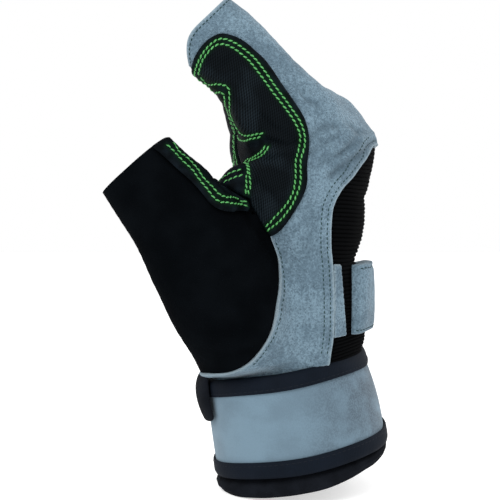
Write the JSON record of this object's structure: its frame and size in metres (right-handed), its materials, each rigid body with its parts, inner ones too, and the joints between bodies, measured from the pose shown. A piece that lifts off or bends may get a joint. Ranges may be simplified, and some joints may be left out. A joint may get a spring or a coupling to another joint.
{
  "type": "half-finger weightlifting glove",
  "caption": "Right-hand half-finger suede training glove with padded grip panels, a black thumb, a ribbed stretch back and a wide bound wrist strap over a cuff.",
  "frame": {"origin": "middle of the wrist opening, at the height of the cuff rim", "axes": "+Z from the wrist to the fingers, -X the side of the palm, +X the back of the hand, -Y the thumb side"},
  "size_m": [0.1195, 0.1075, 0.2057],
  "materials": {
    "suede": "napped suede",
    "velour": "short black pile",
    "grip_cloth": "fine ribbed grip cloth with a slight sheen",
    "rib_knit": "matt stretch cloth with raised ribs",
    "binding_tape": "woven tape",
    "cuff_cloth": "matt stretch cloth"
  },
  "bodies": {
    "root": {"palm_suede": "suede", "thumb_stall": "velour", "back_panel": "rib_knit", "index_stall": "suede", "middle_stall": "suede", "ring_stall": "suede", "little_stall": "suede", "index_pad": "grip_cloth", "middle_pad": "grip_cloth", "ring_pad": "grip_cloth", "little_pad": "grip_cloth", "palm_pad": "grip_cloth", "thumb_patch": "grip_cloth", "back_band": "suede", "band_strip": "suede", "wrist_cuff": "cuff_cloth", "wrist_strap": "suede", "strap_binding_top": "binding_tape", "strap_binding_bottom": "binding_tape", "palm_fold": "velour"}
  },
  "joints": []
}
